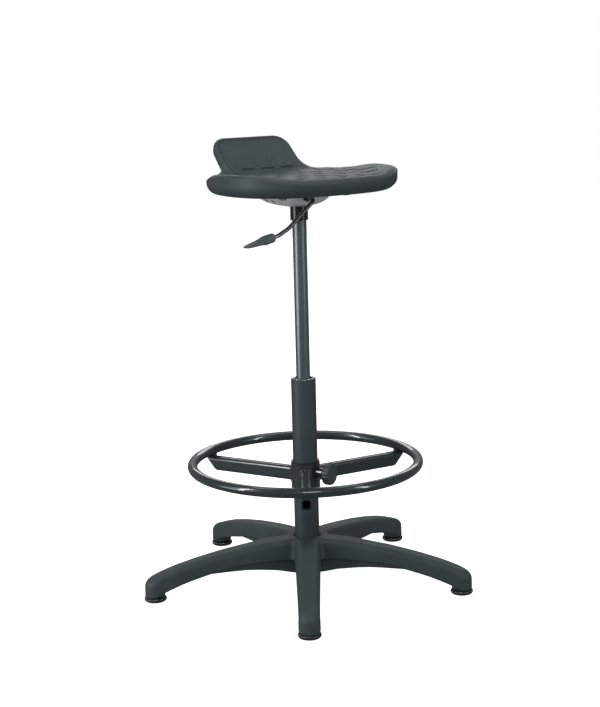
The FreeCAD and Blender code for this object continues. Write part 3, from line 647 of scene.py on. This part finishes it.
def make_grip():
    """Lever paddle: a round socket that flattens into a blade with a thumb hollow."""
    end = np.array(LEVER_END)
    way = end - np.array(LEVER_BEND)
    way = way / np.linalg.norm(way)
    flat = np.array([1.0, 0.0, 0.0])
    thick = np.cross(flat, way)
    thick = thick * np.sign(thick[2])
    start = end - way * GRIP_OVERLAP
    stations = np.array(GRIP_STATIONS)
    rows, columns = 72, 64
    s = np.linspace(0, 1, rows)
    along = stations[-1, 0] * (1 - (1 - s) ** 1.5)
    half_w = np.interp(along, stations[:, 0], stations[:, 1])
    half_h = np.interp(along, stations[:, 0], stations[:, 2])
    sink = np.interp(along, stations[:, 0], stations[:, 3])
    soft = np.ones(5) / 5
    for values in (half_w, half_h, sink):
        values[2:-2] = np.convolve(values, soft, "same")[2:-2]
    left = np.clip((stations[-1, 0] + 0.6 - along) / GRIP_TIP_ROUND, 0.0, 1.0)
    tip = np.sqrt(left * (2 - left))
    lip = 1 - 0.14 * np.exp(-(along / 1.2) ** 2)
    points = []
    for i in range(rows):
        w, h = half_w[i] * tip[i] * lip[i], half_h[i] * (0.35 + 0.65 * tip[i]) * lip[i]
        centre = start + way * along[i] - thick * sink[i] * 0.2
        power = 2.0 + 0.8 * float(smooth_step((along[i] - 10) / 20))
        for j in range(columns):
            turn = j * math.tau / columns
            cx, cz = math.cos(turn), math.sin(turn)
            x = w * math.copysign(abs(cx) ** (2 / power), cx)
            z = h * math.copysign(abs(cz) ** (2 / power), cz)
            if cx > 0:
                x -= 1.9 * math.exp(-((along[i] - 17) / 4.5) ** 2 - (z / 4.0) ** 2)
            if cz > 0:
                z -= 1.1 * math.exp(-((along[i] - 47) / 9) ** 2 - (x / 8.0) ** 2)
            ridge = 0.35 * math.exp(-((np.mod(along[i], 4.0) - 2.0) / 0.8) ** 2)
            z -= ridge * (cz < -0.3) * float(smooth_step((along[i] - 26) / 6)) * (tip[i] > 0.8)
            points.append(tuple(centre + flat * x + thick * z))
    grip = mesh_object("lever_paddle", to_world(np.array(points)), grid_faces(rows, columns))
    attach(grip, "lever")
    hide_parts("lever_grip")
    return grip


# ---------------------------------------------------------------- materials
def new_material(name, colour, rough, metallic=0.0, coat=0.0, coat_rough=0.1, spread=0.12,
                 rough_spread=0.06, grain=900.0, bump=0.15, grain_depth=0.00008, stretch=(1, 1, 1)):
    """Principled surface whose colour, roughness and height vary with noise at two scales."""
    mat = bpy.data.materials.new(name)
    mat.use_nodes = True
    nodes, links = mat.node_tree.nodes, mat.node_tree.links
    shader = nodes["Principled BSDF"]
    shader.inputs["Metallic"].default_value = metallic
    shader.inputs["Coat Weight"].default_value = coat
    shader.inputs["Coat Roughness"].default_value = coat_rough
    where = nodes.new("ShaderNodeTexCoord")
    scale = nodes.new("ShaderNodeMapping")
    scale.inputs["Scale"].default_value = stretch
    links.new(where.outputs["Object"], scale.inputs["Vector"])
    broad = nodes.new("ShaderNodeTexNoise")
    broad.inputs["Scale"].default_value = 14.0
    broad.inputs["Detail"].default_value = 5.0
    links.new(where.outputs["Object"], broad.inputs["Vector"])
    fine = nodes.new("ShaderNodeTexNoise")
    fine.inputs["Scale"].default_value = grain
    fine.inputs["Detail"].default_value = 3.0
    links.new(scale.outputs["Vector"], fine.inputs["Vector"])
    ramp = nodes.new("ShaderNodeValToRGB")
    dark = [c * (1 - spread) for c in colour]
    light = [min(1.0, c * (1 + spread)) for c in colour]
    ramp.color_ramp.elements[0].position = 0.3
    ramp.color_ramp.elements[1].position = 0.7
    ramp.color_ramp.elements[0].color = (*dark, 1)
    ramp.color_ramp.elements[1].color = (*light, 1)
    links.new(broad.outputs["Fac"], ramp.inputs["Fac"])
    links.new(ramp.outputs["Color"], shader.inputs["Base Color"])
    level = nodes.new("ShaderNodeMapRange")
    level.inputs["To Min"].default_value = max(0.02, rough - rough_spread)
    level.inputs["To Max"].default_value = min(1.0, rough + rough_spread)
    links.new(fine.outputs["Fac"], level.inputs["Value"])
    links.new(level.outputs["Result"], shader.inputs["Roughness"])
    height = nodes.new("ShaderNodeBump")
    height.inputs["Strength"].default_value = bump
    height.inputs["Distance"].default_value = grain_depth
    links.new(fine.outputs["Fac"], height.inputs["Height"])
    links.new(height.outputs["Normal"], shader.inputs["Normal"])
    return mat


MATERIALS = {
    "nylon": new_material("nylon_grain", (0.036, 0.053, 0.057), 0.62, grain=1400, bump=0.35,
                          grain_depth=0.0002),
    "glide_plastic": new_material("glide_gloss", (0.010, 0.014, 0.015), 0.1, coat=0.5, coat_rough=0.05),
    "zinc_steel": new_material("zinc_plate", (0.52, 0.53, 0.54), 0.32, metallic=1.0),
    "tube_paint": new_material("column_paint", (0.034, 0.050, 0.054), 0.5, grain=1600, bump=0.25,
                               grain_depth=0.00015),
    "bright_ring": new_material("bright_ring", (0.62, 0.64, 0.65), 0.2, metallic=1.0),
    "bush_plastic": new_material("acetal", (0.012, 0.013, 0.014), 0.4),
    "lift_steel": new_material("lift_finish", (0.17, 0.2, 0.21), 0.36, metallic=0.75, rough_spread=0.02,
                               grain=700, bump=0.01, stretch=(1, 1, 0.05)),
    "black_oxide": new_material("oil_black", (0.02, 0.022, 0.023), 0.35, metallic=0.3),
    "brass": new_material("machined_brass", (0.6, 0.42, 0.16), 0.3, metallic=1.0),
    "rubber": new_material("black_rubber", (0.02, 0.02, 0.02), 0.75),
    "ring_paint": new_material("ring_enamel", (0.020, 0.031, 0.034), 0.3, coat=1.0, coat_rough=0.04,
                               grain=700, bump=0.02, grain_depth=0.00003),
    "socket_paint": new_material("socket_enamel", (0.012, 0.015, 0.016), 0.25),
    "plate_metal": new_material("pressed_steel", (0.74, 0.79, 0.8), 0.36, metallic=0.4),
    "polyurethane": new_material("foam_skin", (0.037, 0.054, 0.059), 0.56, grain=900, bump=0.4,
                                 grain_depth=0.00025),
    "plywood": new_material("birch_ply", (0.5, 0.36, 0.2), 0.6),
    "knob_plastic": new_material("knob_plastic", (0.044, 0.06, 0.063), 0.4),
    "grip_plastic": new_material("grip_plastic", (0.088, 0.108, 0.112), 0.5),
}


def dress(obj, slot):
    """Give an object the one material of its slot."""
    obj.data.materials.clear()
    obj.data.materials.append(MATERIALS[slot])


for part in record["subparts"]:
    dress(frame["nodes"][part["node"]], part["material_slot"])

dress(make_seat(), "polyurethane")
dress(make_base(), "nylon")
dress(make_knob(), "knob_plastic")
dress(make_grip(), "grip_plastic")
dress(make_top_ring(), "bright_ring")
dress(make_ring(), "ring_paint")
for number in range(1, ARMS + 1):
    dress(make_glide(number), "glide_plastic")
for number, spoke_angle in enumerate(SPOKES_DEG, 1):
    make_spoke_welds(number, spoke_angle)


# ---------------------------------------------------------------- floor, light, camera
def make_floor():
    """White sweep that glows a little less near the chair, so that only faint shadows show on it."""
    corners = 96
    turns = [i * math.tau / corners for i in range(corners)]
    ring = [(FLOOR_R * math.cos(turn), FLOOR_R * math.sin(turn), 0.0) for turn in turns]
    mesh = bpy.data.meshes.new("floor")
    mesh.from_pydata(ring, [], [list(range(corners))])
    floor = bpy.data.objects.new("floor", mesh)
    floor.location.z = -0.0005
    bpy.context.scene.collection.objects.link(floor)
    paper = new_material("floor_paper", (0.9, 0.9, 0.9), 0.9, spread=0.01)
    nodes, links = paper.node_tree.nodes, paper.node_tree.links
    where = nodes.new("ShaderNodeTexCoord")
    reach = nodes.new("ShaderNodeVectorMath")
    reach.operation = "LENGTH"
    links.new(where.outputs["Object"], reach.inputs[0])
    glow = nodes.new("ShaderNodeMapRange")
    glow.inputs["From Min"].default_value = FLOOR_GLOW_REACH[0]
    glow.inputs["From Max"].default_value = FLOOR_GLOW_REACH[1]
    glow.inputs["To Min"].default_value = FLOOR_GLOW[0]
    glow.inputs["To Max"].default_value = FLOOR_GLOW[1]
    links.new(reach.outputs["Value"], glow.inputs["Value"])
    shader = nodes["Principled BSDF"]
    shader.inputs["Emission Color"].default_value = (1, 1, 1, 1)
    links.new(glow.outputs["Result"], shader.inputs["Emission Strength"])
    floor.data.materials.append(paper)
    floor.visible_diffuse = False
    floor.visible_glossy = False


def area_light(name, place, aim, width, height, power):
    """Rectangular softbox at place, turned towards aim."""
    data = bpy.data.lights.new(name, "AREA")
    data.shape = "RECTANGLE"
    data.size = width
    data.size_y = height
    data.energy = power
    lamp = bpy.data.objects.new(name, data)
    lamp.location = place
    lamp.rotation_euler = (Vector(aim) - Vector(place)).to_track_quat("-Z", "Y").to_euler()
    bpy.context.scene.collection.objects.link(lamp)


def make_light():
    """White world that is dimmer to surfaces than to the camera, and softboxes round the chair."""
    world = bpy.data.worlds.new("studio")
    bpy.context.scene.world = world
    world.use_nodes = True
    nodes, links = world.node_tree.nodes, world.node_tree.links
    back = nodes["Background"]
    back.inputs["Color"].default_value = (1, 1, 1, 1)
    seen = nodes.new("ShaderNodeLightPath")
    mirror = nodes.new("ShaderNodeMapRange")
    mirror.inputs["To Min"].default_value = ROOM_LEVEL
    mirror.inputs["To Max"].default_value = MIRROR_LEVEL
    links.new(seen.outputs["Is Glossy Ray"], mirror.inputs["Value"])
    level = nodes.new("ShaderNodeMix")
    links.new(seen.outputs["Is Camera Ray"], level.inputs["Factor"])
    links.new(mirror.outputs["Result"], level.inputs["A"])
    level.inputs["B"].default_value = 1.0
    links.new(level.outputs["Result"], back.inputs["Strength"])
    aim = (0, 0, 0.5)
    area_light("left_box", (-2.4, -1.3, 1.3), aim, 0.35, 2.4, 40)
    area_light("front_box", (0.4, -4.2, 2.6), aim, 1.3, 0.5, 30)
    area_light("low_left_box", (-2.0, -0.6, 0.25), (0, 0, 0.78), 0.7, 0.5, 4)
    area_light("right_box", (2.3, -1.5, 1.4), aim, 0.3, 2.2, 20)
    area_light("back_box", (0.2, 2.6, 1.7), aim, 3.0, 0.9, 20)
    area_light("top_box", (0.0, 0.5, 3.0), aim, 2.6, 0.6, 17)


def make_camera():
    """Long lens in front of the chair, looking a little down."""
    data = bpy.data.cameras.new("camera")
    data.lens = CAMERA_LENS
    data.sensor_width = 36.0
    camera = bpy.data.objects.new("camera", data)
    level = math.cos(CAMERA_PITCH)
    ahead = Vector((math.sin(CAMERA_YAW) * level, math.cos(CAMERA_YAW) * level, -math.sin(CAMERA_PITCH)))
    flat_right = Vector((math.cos(CAMERA_YAW), -math.sin(CAMERA_YAW), 0.0))
    flat_up = flat_right.cross(ahead)
    right = flat_right * math.cos(CAMERA_ROLL) + flat_up * math.sin(CAMERA_ROLL)
    up = flat_up * math.cos(CAMERA_ROLL) - flat_right * math.sin(CAMERA_ROLL)
    camera.matrix_world = Matrix((
        (right.x, up.x, -ahead.x, CAMERA_PLACE[0]),
        (right.y, up.y, -ahead.y, CAMERA_PLACE[1]),
        (right.z, up.z, -ahead.z, CAMERA_PLACE[2]),
        (0, 0, 0, 1)))
    bpy.context.scene.collection.objects.link(camera)
    bpy.context.scene.camera = camera


make_floor()
make_light()
make_camera()
bpy.context.scene.view_settings.view_transform = "Standard"
